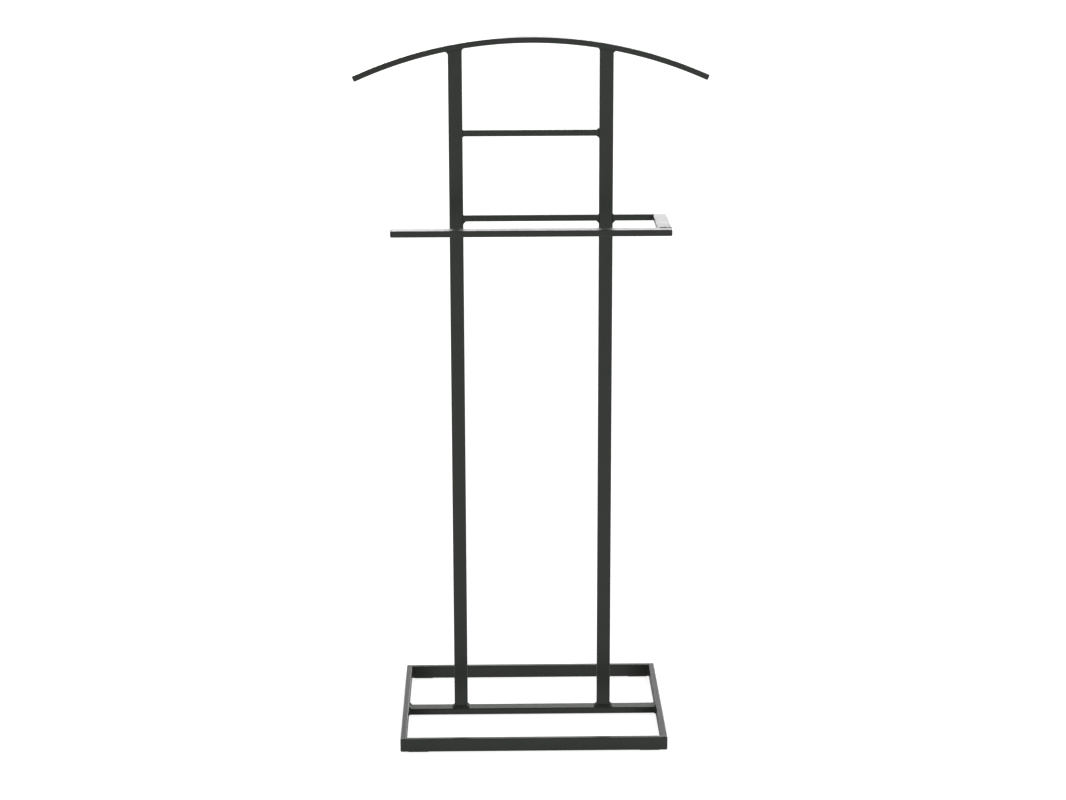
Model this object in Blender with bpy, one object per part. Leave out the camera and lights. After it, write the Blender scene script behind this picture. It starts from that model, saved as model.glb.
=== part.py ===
"""Valet stand: a welded frame of rectangular steel tube with a black powder coat.

A rectangular base lies on four thin pads. Its cross rail carries two uprights, which hold a short
crossbar, an arched shoulder bar and a trouser loop that is open at its left end. Nothing moves.

Metres, +Z up, +X to the user's right, -Y to the front. The origin is on the floor, at the middle
of the base.
"""

import math

import bmesh
import bpy
from mathutils import Matrix

# Clearances and details shared by all pieces
GAP = 0.0003  # air between neighbouring pieces
WALL = 0.0012  # wall of every tube
CORNER_STEPS = 3  # facets in a quarter of a rounded corner
QUARTER_TURN = math.pi / 2
PLUG_HEAD = 0.0023  # room that a plug's head and its gap take at a tube's end
PLUG_SHANK = 0.009
PLUG_RELIEF = 0.0007  # how far the front of a plug's head is drawn in

# Base
PAD_THICKNESS = 0.0007
PAD_LENGTH = 0.030
PAD_WIDTH = 0.005
PAD_INSET = 0.012  # from the end of the rail to the pad
BASE_BOTTOM = PAD_THICKNESS + GAP
BASE_WIDTH = 0.400
BASE_DEPTH = 0.300
BASE_TUBE_THICKNESS = 0.0085
BASE_TUBE_HEIGHT = 0.020
BASE_TUBE_CORNER = 0.0013
CROSS_RAIL_DEPTH = 0.020
CROSS_RAIL_HEIGHT = 0.010
FRAME_CORNER = 0.0015  # corner radius of the cross rail and uprights

# Uprights and the crossbar between them
UPRIGHT_WIDTH = 0.0205
UPRIGHT_DEPTH = 0.010
UPRIGHT_OUTER = 0.1206  # from the middle plane to an upright's outer side
CROSSBAR_BOTTOM = 0.9047
SMALL_BAR_HEIGHT = 0.009
SMALL_BAR_DEPTH = 0.006
SMALL_BAR_CORNER = 0.001

# Shoulder bar, a rectangular tube bent flatwise to one radius
SHOULDER_TOP = 1.050
SHOULDER_RADIUS = 0.631  # to its upper surface
SHOULDER_THICKNESS = 0.0085
SHOULDER_DEPTH = 0.020
SHOULDER_HALF_ANGLE = math.radians(24.43)  # to the faces of its end plugs
SHOULDER_STEPS = 44

# Trouser loop
LOOP_BOTTOM = 0.7786
LOOP_TUBE_HEIGHT = 0.0091
LOOP_TUBE_WIDTH = 0.020
LOOP_CORNER = 0.0012
LOOP_RIGHT = 0.200
LOOP_LEFT = -0.204
LOOP_FRONT = -0.126

# Weld beads: how far each runs along the piece that it lies on
FOOT_BEAD = 0.0045
FOOT_BEAD_FRONT = 0.0042
FOOT_BEAD_RISE = 0.0042
TOP_BEADS = {"left": (0.0046, 0.0064), "right": (0.0052, 0.0046)}  # towards +X, towards -X
TOP_BEAD_RISE = 0.0045
TOP_BEAD_FRONT = 0.0018
CROSSBAR_BEADS = {"left": 0.0017, "right": 0.0040}
REAR_RAIL_BEADS = {  # below, above
    "left": (0.0048, 0.0012),
    "middle": (0.0042, 0.0022),
    "right": (0.0048, 0.0024),
}
BAR_BEAD_FRONT = 0.0009
RAIL_BEAD = 0.0030
CORNER_BEAD = 0.0028
BEAD_CROWN = 0.42  # a bead's hollow middle stands at this share of both its legs

# Places that follow from the sizes above
CROSS_RAIL_TOP = BASE_BOTTOM + CROSS_RAIL_HEIGHT
CROSS_RAIL_REACH = BASE_WIDTH / 2 - BASE_TUBE_THICKNESS
UPRIGHT_X = UPRIGHT_OUTER - UPRIGHT_WIDTH / 2
UPRIGHT_INNER = UPRIGHT_OUTER - UPRIGHT_WIDTH
UPRIGHT_FOOT = CROSS_RAIL_TOP + GAP
SHOULDER_CENTRE = SHOULDER_TOP - SHOULDER_RADIUS
SHOULDER_UNDERSIDE = SHOULDER_RADIUS - SHOULDER_THICKNESS
LOOP_MIDDLE = LOOP_BOTTOM + LOOP_TUBE_HEIGHT / 2
REAR_RAIL_FRONT = -UPRIGHT_DEPTH / 2
REAR_RAIL_BACK = REAR_RAIL_FRONT + SMALL_BAR_DEPTH
REAR_RAIL_Y = (REAR_RAIL_FRONT + REAR_RAIL_BACK) / 2
FRONT_RAIL_BACK = LOOP_FRONT + LOOP_TUBE_WIDTH
RETURN_LEFT = LOOP_RIGHT - LOOP_TUBE_WIDTH


def clear_scene():
    for existing in list(bpy.data.objects):
        bpy.data.objects.remove(existing, do_unlink=True)


def make_material(name, colour, roughness):
    material = bpy.data.materials.new(name)
    material.use_nodes = True
    shader = material.node_tree.nodes["Principled BSDF"]
    shader.inputs["Base Color"].default_value = (*colour, 1.0)
    shader.inputs["Roughness"].default_value = roughness
    shader.inputs["Metallic"].default_value = 0.0
    return material


def add_object(name, mesh, material, location=(0, 0, 0), rotation=(0, 0, 0)):
    """An object of its own for one piece, under the empty that stands for the whole frame."""
    piece = bpy.data.objects.new(name, mesh)
    bpy.context.scene.collection.objects.link(piece)
    if not mesh.materials:
        mesh.materials.append(material)
    piece.location = location
    piece.rotation_euler = rotation
    piece.parent = bpy.data.objects["stand"]
    return piece


def finished_mesh(name, bm):
    """The mesh of a bmesh body, with its faces turned outward and its round corners shaded smooth."""
    bmesh.ops.recalc_face_normals(bm, faces=bm.faces)
    mesh = bpy.data.meshes.new(name)
    bm.to_mesh(mesh)
    bm.free()
    mesh.shade_smooth()
    mesh.set_sharp_from_angle(angle=math.radians(40))
    return mesh


def rounded_outline(width, height, radius, centre=0.0):
    """Corner points of a rectangle with round corners, anticlockwise in its own plane."""
    points = []
    for quarter, (side_a, side_b) in enumerate(((1, 1), (-1, 1), (-1, -1), (1, -1))):
        for step in range(CORNER_STEPS + 1):
            angle = (quarter + step / CORNER_STEPS) * QUARTER_TURN
            a = centre + side_a * (width / 2 - radius) + radius * math.cos(angle)
            b = side_b * (height / 2 - radius) + radius * math.sin(angle)
            points.append((a, b))
    return points


def add_loop(bm, points):
    return [bm.verts.new(point) for point in points]


def join_loops(bm, first, second, closed=True):
    """Quads between two loops of as many vertices; an open loop leaves out the last quad."""
    count = len(first)
    faces = []
    for i in range(count if closed else count - 1):
        j = (i + 1) % count
        faces.append(bm.faces.new((first[i], first[j], second[j], second[i])))
    return faces


def tube_section(bm, width, height, radius):
    """The ring-shaped cut face of a tube, in the YZ plane."""
    inner_radius = max(radius - WALL, 0.0003)
    outer = add_loop(bm, [(0, y, z) for y, z in rounded_outline(width, height, radius)])
    inner = rounded_outline(width - 2 * WALL, height - 2 * WALL, inner_radius)
    return join_loops(bm, outer, add_loop(bm, [(0, y, z) for y, z in inner]))


def moved_vertices(extruded):
    return [item for item in extruded["geom"] if isinstance(item, bmesh.types.BMVert)]


def straight_tube(name, width, height, radius, length, trim=None):
    """A tube along X, centred. trim(y, z) is how much shorter each end is at a point of the section."""
    bm = bmesh.new()
    section = tube_section(bm, width, height, radius)
    near = list({vertex for face in section for vertex in face.verts})
    far = moved_vertices(bmesh.ops.extrude_face_region(bm, geom=section))
    for vertices, side in ((near, -1), (far, 1)):
        for vertex in vertices:
            cut = trim(vertex.co.y, vertex.co.z) if trim else 0.0
            vertex.co.x = side * (length / 2 - cut)
    return finished_mesh(name, bm)


def solid_bar(name, width, height, radius, length):
    """A solid bar along X, centred."""
    bm = bmesh.new()
    outline = rounded_outline(width, height, radius)
    face = bm.faces.new(add_loop(bm, [(-length / 2, y, z) for y, z in outline]))
    far = moved_vertices(bmesh.ops.extrude_face_region(bm, geom=[face]))
    bmesh.ops.translate(bm, verts=far, vec=(length, 0, 0))
    return finished_mesh(name, bm)


def loops_mesh(name, loops, ring):
    """A body through a row of outlines: a ring joins its last to its first, or both ends are capped."""
    bm = bmesh.new()
    rows = [add_loop(bm, loop) for loop in loops]
    for first, second in zip(rows, rows[1:]):
        join_loops(bm, first, second)
    if ring:
        join_loops(bm, rows[-1], rows[0])
    else:
        bm.faces.new(rows[0])
        bm.faces.new(rows[-1])
    return finished_mesh(name, bm)


def plug_mesh(name, width, height, radius):
    """A tube's end plug along X: a shank inside the tube and a head outside it, its back at x = 0."""
    slack = 2 * (WALL + GAP)
    shank = rounded_outline(width - slack, height - slack, 0.0003)
    head = rounded_outline(width, height, radius)
    face = rounded_outline(width - 2 * PLUG_RELIEF, height - 2 * PLUG_RELIEF, radius)
    thickness = PLUG_HEAD - GAP
    stations = (
        (shank, -PLUG_SHANK),
        (shank, 0.0),
        (head, 0.0),
        (head, thickness - PLUG_RELIEF),
        (face, thickness),
    )
    return loops_mesh(name, [[(x, y, z) for y, z in loop] for loop, x in stations], ring=False)


def bead_steps(rise):
    """Share of the legs and height of each outline of a bead: root, toe, crown and top."""
    crown = GAP + BEAD_CROWN * rise
    return ((0.0, GAP), (1.0, GAP), (BEAD_CROWN, crown), (0.0, GAP + rise))


def ring_bead(name, width, height, radius, legs, rise, lift=None):
    """A bead round a bar that stands along Z on a face: legs are +X, -X and Y. lift(x) bends the face."""
    leg_plus, leg_minus, leg_side = legs
    loops = []
    for share, z in bead_steps(rise):
        outline = rounded_outline(
            width + 2 * GAP + share * (leg_plus + leg_minus),
            height + 2 * GAP + 2 * share * leg_side,
            radius + GAP + share * leg_side,
            share * (leg_plus - leg_minus) / 2,
        )
        loops.append([(x, y, z + (lift(x) if lift else 0.0)) for x, y in outline])
    return loops_mesh(name, loops, ring=True)


def saddle_bead(name, width, height, radius, leg, foot):
    """A bead over the back, top and front of a bar along Z; it leaves out the bottom below y = foot."""
    bm = bmesh.new()
    rows = []
    for share, z in bead_steps(leg):
        offset = GAP + share * leg
        outline = rounded_outline(width + 2 * offset, height + 2 * offset, radius + offset)
        upper = outline[: 2 * CORNER_STEPS + 2]
        points = [(upper[0][0], foot), *upper, (upper[-1][0], foot)]
        rows.append(add_loop(bm, [(x, y, z) for x, y in points]))
    for first, second in zip(rows, [*rows[1:], rows[0]]):
        join_loops(bm, first, second, closed=False)
    bm.faces.new([row[0] for row in rows])
    bm.faces.new([row[-1] for row in rows])
    return finished_mesh(name, bm)


def corner_bead(name, leg, height):
    """An upright bead in an inside corner whose walls are x = 0 and y = 0; it fills +X, +Y."""
    bm = bmesh.new()
    crown = GAP + BEAD_CROWN * leg
    toe = GAP + leg
    outline = ((GAP, GAP), (toe, GAP), (crown, crown), (GAP, toe))
    face = bm.faces.new(add_loop(bm, [(x, y, -height / 2) for x, y in outline]))
    top = moved_vertices(bmesh.ops.extrude_face_region(bm, geom=[face]))
    bmesh.ops.translate(bm, verts=top, vec=(0, 0, height))
    return finished_mesh(name, bm)


def underside_height(x):
    """Height of the shoulder bar's lower surface above the floor."""
    return SHOULDER_CENTRE + math.sqrt(SHOULDER_UNDERSIDE**2 - x**2)


def build_base(coat, felt):
    """Four mitred rails on edge, with the cross rail laid flat between the side ones."""

    def mitre(y, z):
        return y + BASE_TUBE_THICKNESS / 2 + GAP * math.sqrt(0.5)

    section = (BASE_TUBE_THICKNESS, BASE_TUBE_HEIGHT, BASE_TUBE_CORNER)
    long_rail = straight_tube("base_long_rail", *section, BASE_WIDTH, mitre)
    short_rail = straight_tube("base_short_rail", *section, BASE_DEPTH, mitre)
    middle = BASE_BOTTOM + BASE_TUBE_HEIGHT / 2
    across = BASE_WIDTH / 2 - BASE_TUBE_THICKNESS / 2
    along = BASE_DEPTH / 2 - BASE_TUBE_THICKNESS / 2
    add_object("base_front_rail", long_rail, coat, (0, -along, middle))
    add_object("base_rear_rail", long_rail, coat, (0, along, middle), (0, 0, math.pi))
    add_object("base_left_rail", short_rail, coat, (-across, 0, middle), (0, 0, -QUARTER_TURN))
    add_object("base_right_rail", short_rail, coat, (across, 0, middle), (0, 0, QUARTER_TURN))

    length = 2 * (CROSS_RAIL_REACH - GAP)
    cross = straight_tube(
        "base_cross_rail", CROSS_RAIL_DEPTH, CROSS_RAIL_HEIGHT, FRAME_CORNER, length
    )
    add_object("base_cross_rail", cross, coat, (0, 0, CROSS_RAIL_TOP - CROSS_RAIL_HEIGHT / 2))

    pad = solid_bar("floor_pad", PAD_WIDTH, PAD_THICKNESS, PAD_THICKNESS / 4, PAD_LENGTH)
    reach = BASE_WIDTH / 2 - PAD_INSET - PAD_LENGTH / 2
    for side, x in (("left", -reach), ("right", reach)):
        for end, y in (("front", -along), ("rear", along)):
            add_object(f"floor_pad_{end}_{side}", pad, felt, (x, y, PAD_THICKNESS / 2))


def build_base_welds(coat):
    """Beads at both ends of the cross rail and in the four inside corners of the base."""
    saddle = saddle_bead(
        "weld_cross_rail",
        CROSS_RAIL_DEPTH,
        CROSS_RAIL_HEIGHT,
        FRAME_CORNER,
        RAIL_BEAD,
        -CROSS_RAIL_HEIGHT / 2 + FRAME_CORNER,
    )
    middle = CROSS_RAIL_TOP - CROSS_RAIL_HEIGHT / 2
    turned = {"left": (QUARTER_TURN, 0, QUARTER_TURN), "right": (QUARTER_TURN, 0, -QUARTER_TURN)}
    for side, x in (("left", -CROSS_RAIL_REACH), ("right", CROSS_RAIL_REACH)):
        add_object(f"weld_cross_rail_{side}", saddle, coat, (x, 0, middle), turned[side])

    height = BASE_TUBE_HEIGHT - 2 * BASE_TUBE_CORNER
    corner = corner_bead("weld_base_corner", CORNER_BEAD, height)
    middle = BASE_BOTTOM + BASE_TUBE_HEIGHT / 2
    y = BASE_DEPTH / 2 - BASE_TUBE_THICKNESS
    corners = (
        ("front_left", -CROSS_RAIL_REACH, -y),
        ("front_right", CROSS_RAIL_REACH, -y),
        ("rear_right", CROSS_RAIL_REACH, y),
        ("rear_left", -CROSS_RAIL_REACH, y),
    )
    for turns, (place, x, y) in enumerate(corners):
        rotation = (0, 0, turns * QUARTER_TURN)
        add_object(f"weld_base_{place}", corner, coat, (x, y, middle), rotation)


def build_uprights(coat):
    """Two tubes on the cross rail; each top is cut to the shoulder bar's curve."""
    for side, x in (("left", -UPRIGHT_X), ("right", UPRIGHT_X)):
        name = f"{side}_upright"
        bm = bmesh.new()
        section = tube_section(bm, UPRIGHT_DEPTH, UPRIGHT_WIDTH, FRAME_CORNER)
        foot = list({vertex for face in section for vertex in face.verts})
        top = moved_vertices(bmesh.ops.extrude_face_region(bm, geom=section))
        for vertex in foot:
            vertex.co.x = UPRIGHT_FOOT
        for vertex in top:
            vertex.co.x = underside_height(x - vertex.co.z) - GAP
        add_object(name, finished_mesh(name, bm), coat, (x, 0, 0), (0, -QUARTER_TURN, 0))


def build_upright_welds(coat):
    """A bead round each upright's foot, and one round each top that follows the arch."""
    section = (UPRIGHT_WIDTH, UPRIGHT_DEPTH, FRAME_CORNER)
    foot_legs = (FOOT_BEAD, FOOT_BEAD, FOOT_BEAD_FRONT)
    foot = ring_bead("weld_upright_foot", *section, foot_legs, FOOT_BEAD_RISE)
    for side, x in (("left", -UPRIGHT_X), ("right", UPRIGHT_X)):
        add_object(f"weld_{side}_foot", foot, coat, (x, 0, CROSS_RAIL_TOP))

        def lift(local_x, upright_x=x):
            return underside_height(upright_x) - underside_height(upright_x + local_x)

        top_legs = (*TOP_BEADS[side], TOP_BEAD_FRONT)
        top = ring_bead(f"weld_{side}_top", *section, top_legs, TOP_BEAD_RISE, lift)
        place = (x, 0, underside_height(x))
        add_object(f"weld_{side}_top", top, coat, place, (math.pi, 0, 0))


def build_crossbar(coat):
    """A small solid bar between the uprights, with a bead round each end."""
    length = 2 * (UPRIGHT_INNER - GAP)
    bar = solid_bar(
        "upper_crossbar", SMALL_BAR_DEPTH, SMALL_BAR_HEIGHT, SMALL_BAR_CORNER, length
    )
    middle = CROSSBAR_BOTTOM + SMALL_BAR_HEIGHT / 2
    add_object("upper_crossbar", bar, coat, (0, 0, middle))
    section = (SMALL_BAR_HEIGHT, SMALL_BAR_DEPTH, SMALL_BAR_CORNER)
    for side, x, turn in (
        ("left", -UPRIGHT_INNER, QUARTER_TURN),
        ("right", UPRIGHT_INNER, -QUARTER_TURN),
    ):
        leg = CROSSBAR_BEADS[side]
        bead = ring_bead(f"weld_crossbar_{side}", *section, (leg, leg, BAR_BEAD_FRONT), leg)
        add_object(f"weld_crossbar_{side}", bead, coat, (x, 0, middle), (0, turn, 0))


def build_shoulder_bar(coat, plastic):
    """A tube spun about the arch's centre, with a plug in each end."""
    middle_radius = SHOULDER_RADIUS - SHOULDER_THICKNESS / 2
    plug_angle = PLUG_HEAD / middle_radius
    half_angle = SHOULDER_HALF_ANGLE - plug_angle
    bm = bmesh.new()
    section = tube_section(bm, SHOULDER_DEPTH, SHOULDER_THICKNESS, FRAME_CORNER)
    bmesh.ops.translate(bm, verts=bm.verts, vec=(0, 0, middle_radius))
    to_left_end = Matrix.Rotation(-half_angle, 3, "Y")
    bmesh.ops.rotate(bm, verts=bm.verts, cent=(0, 0, 0), matrix=to_left_end)
    bmesh.ops.spin(
        bm,
        geom=section,
        cent=(0, 0, 0),
        axis=(0, 1, 0),
        angle=2 * half_angle,
        steps=SHOULDER_STEPS,
        use_duplicate=False,
    )
    mesh = finished_mesh("shoulder_bar", bm)
    add_object("shoulder_bar", mesh, coat, (0, 0, SHOULDER_CENTRE))

    plug = plug_mesh("plug_shoulder", SHOULDER_DEPTH, SHOULDER_THICKNESS, FRAME_CORNER)
    back_angle = SHOULDER_HALF_ANGLE - plug_angle * (1 - GAP / PLUG_HEAD)
    x = middle_radius * math.sin(back_angle)
    z = SHOULDER_CENTRE + middle_radius * math.cos(back_angle)
    add_object("plug_shoulder_right", plug, plastic, (x, 0, z), (0, back_angle, 0))
    add_object("plug_shoulder_left", plug, plastic, (-x, 0, z), (0, back_angle, math.pi))


def build_trouser_loop(coat, plastic):
    """Rear rail in two lengths, return rail running forward, and front rail with its left end free."""
    inner = solid_bar(
        "trouser_rear_rail_inner",
        SMALL_BAR_DEPTH,
        LOOP_TUBE_HEIGHT,
        SMALL_BAR_CORNER,
        2 * (UPRIGHT_INNER - GAP),
    )
    add_object("trouser_rear_rail_inner", inner, coat, (0, REAR_RAIL_Y, LOOP_MIDDLE))
    left = UPRIGHT_OUTER + GAP
    right = RETURN_LEFT - GAP
    outer = solid_bar(
        "trouser_rear_rail_outer",
        SMALL_BAR_DEPTH,
        LOOP_TUBE_HEIGHT,
        SMALL_BAR_CORNER,
        right - left,
    )
    place = ((left + right) / 2, REAR_RAIL_Y, LOOP_MIDDLE)
    add_object("trouser_rear_rail_outer", outer, coat, place)

    section = (LOOP_TUBE_WIDTH, LOOP_TUBE_HEIGHT, LOOP_CORNER)
    back = REAR_RAIL_BACK - PLUG_HEAD
    front = FRONT_RAIL_BACK + GAP
    x = (RETURN_LEFT + LOOP_RIGHT) / 2
    tube = straight_tube("trouser_return_rail", *section, back - front)
    place = (x, (front + back) / 2, LOOP_MIDDLE)
    add_object("trouser_return_rail", tube, coat, place, (0, 0, QUARTER_TURN))

    y = LOOP_FRONT + LOOP_TUBE_WIDTH / 2
    length = LOOP_RIGHT - LOOP_LEFT - 2 * PLUG_HEAD
    middle = (LOOP_RIGHT + LOOP_LEFT) / 2
    tube = straight_tube("trouser_front_rail", *section, length)
    add_object("trouser_front_rail", tube, coat, (middle, y, LOOP_MIDDLE))

    plug = plug_mesh("plug_loop", *section)
    shift = length / 2 + GAP
    add_object("plug_return_rail", plug, plastic, (x, back + GAP, LOOP_MIDDLE), (0, 0, QUARTER_TURN))
    add_object("plug_front_rail_right", plug, plastic, (middle + shift, y, LOOP_MIDDLE))
    place = (middle - shift, y, LOOP_MIDDLE)
    add_object("plug_front_rail_left", plug, plastic, place, (0, 0, math.pi))


def build_loop_welds(coat):
    """Beads where the rear rail meets the uprights, and in the return rail's two inside corners."""
    section = (LOOP_TUBE_HEIGHT, SMALL_BAR_DEPTH, SMALL_BAR_CORNER)
    for place, x, turn in (
        ("left", -UPRIGHT_INNER, QUARTER_TURN),
        ("middle", UPRIGHT_INNER, -QUARTER_TURN),
        ("right", UPRIGHT_OUTER, QUARTER_TURN),
    ):
        below, above = REAR_RAIL_BEADS[place]
        name = f"weld_rear_rail_{place}"
        sides = (below, above) if turn > 0 else (above, below)
        bead = ring_bead(name, *section, (*sides, BAR_BEAD_FRONT), (below + above) / 2)
        add_object(name, bead, coat, (x, REAR_RAIL_Y, LOOP_MIDDLE), (0, turn, 0))

    corner = corner_bead("weld_loop_corner", CORNER_BEAD, LOOP_TUBE_HEIGHT - 2 * LOOP_CORNER)
    rear = (RETURN_LEFT, REAR_RAIL_FRONT, LOOP_MIDDLE)
    front = (RETURN_LEFT, FRONT_RAIL_BACK, LOOP_MIDDLE)
    add_object("weld_return_rear", corner, coat, rear, (0, 0, math.pi))
    add_object("weld_return_front", corner, coat, front, (0, 0, QUARTER_TURN))


def main():
    clear_scene()
    stand = bpy.data.objects.new("stand", None)
    bpy.context.scene.collection.objects.link(stand)
    coat = make_material("black_powder_coat", (0.020, 0.024, 0.022), 0.36)
    plastic = make_material("black_plastic", (0.016, 0.017, 0.017), 0.45)
    felt = make_material("black_felt", (0.020, 0.020, 0.020), 0.95)
    build_base(coat, felt)
    build_base_welds(coat)
    build_uprights(coat)
    build_upright_welds(coat)
    build_crossbar(coat)
    build_shoulder_bar(coat, plastic)
    build_trouser_loop(coat, plastic)
    build_loop_welds(coat)


main()
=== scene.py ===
"""Looks of a valet stand: a welded frame of rectangular steel tube with a satin black powder coat.

Metres, +Z up, +X to the user's right, -Y to the front. The sections follow the order in which the
stand is made: base, cross rail, uprights, crossbar, shoulder bar, trouser loop, felt pads, studio.
"""

import math

import bpy
import numpy as np
from mathutils import Matrix, Vector


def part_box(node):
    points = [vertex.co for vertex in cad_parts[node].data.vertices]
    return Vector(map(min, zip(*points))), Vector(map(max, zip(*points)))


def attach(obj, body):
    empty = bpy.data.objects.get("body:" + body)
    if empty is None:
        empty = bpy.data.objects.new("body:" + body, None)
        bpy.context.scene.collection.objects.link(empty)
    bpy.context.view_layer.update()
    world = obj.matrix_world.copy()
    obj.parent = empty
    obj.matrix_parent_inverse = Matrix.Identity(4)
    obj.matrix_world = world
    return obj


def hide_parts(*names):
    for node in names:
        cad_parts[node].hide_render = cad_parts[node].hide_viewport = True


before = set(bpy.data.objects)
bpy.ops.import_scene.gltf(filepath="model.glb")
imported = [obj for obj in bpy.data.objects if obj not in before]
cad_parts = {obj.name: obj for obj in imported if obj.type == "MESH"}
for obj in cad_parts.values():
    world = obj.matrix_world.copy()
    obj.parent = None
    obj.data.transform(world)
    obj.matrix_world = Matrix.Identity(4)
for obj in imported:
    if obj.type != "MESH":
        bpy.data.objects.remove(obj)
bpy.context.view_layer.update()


# ---------------------------------------------------------------------------------------------
# Base rails. Four steel tubes, 20 mm high and 8.5 mm thick, stand on edge. They are mitred, welded
# and ground flush outside, which leaves the upright outer edges a little round. The whole stand is
# sprayed with black powder after welding, and the powder melts into one satin skin in an oven.

WALL = 0.0012
LEAST_RADIUS = 0.0003  # inside corner of a drawn tube
QUARTER_TURN = np.pi / 2
BASE_TUBE_CORNER = 0.0013
GROUND_CORNER = 0.0028  # upright outer edge of the base, rounded by grinding
MITRE_SPREAD = 0.25  # how far rows near a mitre stand apart, as a share of their depth in the rail
CORNER_STEPS = 6  # facets in a tube's round corner
SUPPORTS = np.array([0.03, 0.12, 0.5, 0.88, 0.97])  # columns across a flat side, close to its edges
NEAR_EDGE = np.array([0.35, 0.0, 0.0, 0.0, 0.35])  # how near an edge each of them counts as
SHARP_ANGLE = math.radians(35)  # an edge that turns further isn't shaded smooth

COAT_DARK = (0.0082, 0.0122, 0.0076)
COAT_PALE = (0.0132, 0.0180, 0.0124)
COAT_ROUGHNESS = 0.31
CLOUD_SIZE = 0.045  # patches of thicker and thinner powder
FLOW_SIZE = 0.007  # slow waves where the powder ran together
FLOW_DEPTH = 0.00010
PEEL_SIZE = 0.0011  # orange peel
PEEL_DEPTH = 0.000012
NIB_SIZE = 0.0016  # dust under the skin
NIB_DEPTH = 0.00006
THIN_AND_HIGHLIT_SIZE = 0.004  # where an edge shows paler: partly a thinner coat, partly a painted highlight


class Wire:
    """A socket of a node tree. Arithmetic with numbers or other wires adds Math nodes."""

    def __init__(self, tree, socket=None):
        self.tree = tree
        self.socket = socket

    def node(self, kind, settings, sockets, output=0):
        """A node of this kind: its settings come first, then the values or links of its sockets."""
        made = self.tree.nodes.new(kind)
        for name, value in settings.items():
            setattr(made, name, value)
        for name, value in sockets.items():
            if isinstance(value, Wire):
                self.tree.links.new(value.socket, made.inputs[name])
            else:
                made.inputs[name].default_value = value
        return Wire(self.tree, made.outputs[output])

    def maths(self, operation, *values):
        return self.node("ShaderNodeMath", {"operation": operation}, dict(enumerate(values)))

    def between(self, low, high):
        """0 below low, 1 above high, and a smooth step from one to the other."""
        limits = {"Value": self, "From Min": low, "From Max": high}
        return self.node("ShaderNodeMapRange", {"interpolation_type": "SMOOTHSTEP"}, limits)

    def __add__(self, other):
        return self.maths("ADD", self, other)

    def __sub__(self, other):
        return self.maths("SUBTRACT", self, other)

    def __rsub__(self, other):
        return self.maths("SUBTRACT", other, self)

    def __mul__(self, other):
        return self.maths("MULTIPLY", self, other)

    __radd__ = __add__
    __rmul__ = __mul__


def noise(place, size, detail, roughness=0.5):
    """Noise from 0 to 1 whose marks are about this size in metres."""
    sockets = {"Vector": place, "Scale": 1 / size, "Detail": detail, "Roughness": roughness}
    return place.node("ShaderNodeTexNoise", {"noise_dimensions": "3D"}, sockets, "Fac")


def bump(height, depth, below=None):
    """A Bump node for a height of 0 to 1 that stands for this depth in metres, over another bump."""
    sockets = {"Height": height, "Distance": depth, "Strength": 1.0}
    if below:
        sockets["Normal"] = below
    return height.node("ShaderNodeBump", {}, sockets, "Normal")


def blend(share, first, second):
    """The first colour where the share is 0, the second where it is 1."""
    sockets = {0: share, 6: (*first, 1.0), 7: (*second, 1.0)}
    return share.node("ShaderNodeMix", {"data_type": "RGBA"}, sockets, 2)


def start_material(name, constants):
    """A material, its Principled shader with these constants, and its Object coordinates."""
    material = bpy.data.materials.new(name)
    material.use_nodes = True
    tree = material.node_tree
    shader = tree.nodes["Principled BSDF"]
    for socket, value in constants.items():
        shader.inputs[socket].default_value = value
    return material, shader, Wire(tree).node("ShaderNodeTexCoord", {}, {}, "Object")


def feed(shader, colour, roughness, normal):
    """Links the three wires to the shader."""
    for socket, wire in (("Base Color", colour), ("Roughness", roughness), ("Normal", normal)):
        wire.tree.links.new(wire.socket, shader.inputs[socket])


def powder_coat(name, roughness, peel_depth):
    """Satin black powder coat.

    Colour: near-black with a faint green cast, uneven by a few percent, a little paler over an edge,
    partly for a thinner coat there and partly as a painted edge highlight. Roughness: cloudy, lower
    where the powder flowed thick. Normal: fine orange peel, slower waves, and sparse dust nibs under
    the skin.
    """
    constants = {"IOR": 1.5, "Specular IOR Level": 0.35, "Metallic": 0.0}
    material, shader, place = start_material(name, constants)
    edge = place.node("ShaderNodeAttribute", {"attribute_name": "edge"}, {}, "Fac")
    cloud = noise(place, CLOUD_SIZE, 3.0)
    flow = noise(place, FLOW_SIZE, 2.0)
    peel = noise(place, PEEL_SIZE, 1.0)
    nibs = noise(place, NIB_SIZE, 0.0).between(0.76, 0.86)
    # Edges turn paler in patches: partly a thinner coat, partly a painted highlight along each edge.
    thin_and_highlit_edge = edge * noise(place, THIN_AND_HIGHLIT_SIZE, 3.0).between(0.42, 0.75)

    colour = blend(cloud.between(0.3, 0.7) * 0.5 + thin_and_highlit_edge * 0.5, COAT_DARK, COAT_PALE)
    gloss = roughness + (cloud - 0.5) * 0.10 + (flow - 0.5) * 0.08 + thin_and_highlit_edge * 0.06 - nibs * 0.04

    normal = bump(flow, FLOW_DEPTH)
    normal = bump(peel, peel_depth, normal)
    normal = bump(nibs, NIB_DEPTH, normal)
    feed(shader, colour, gloss, normal)
    return material


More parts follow.
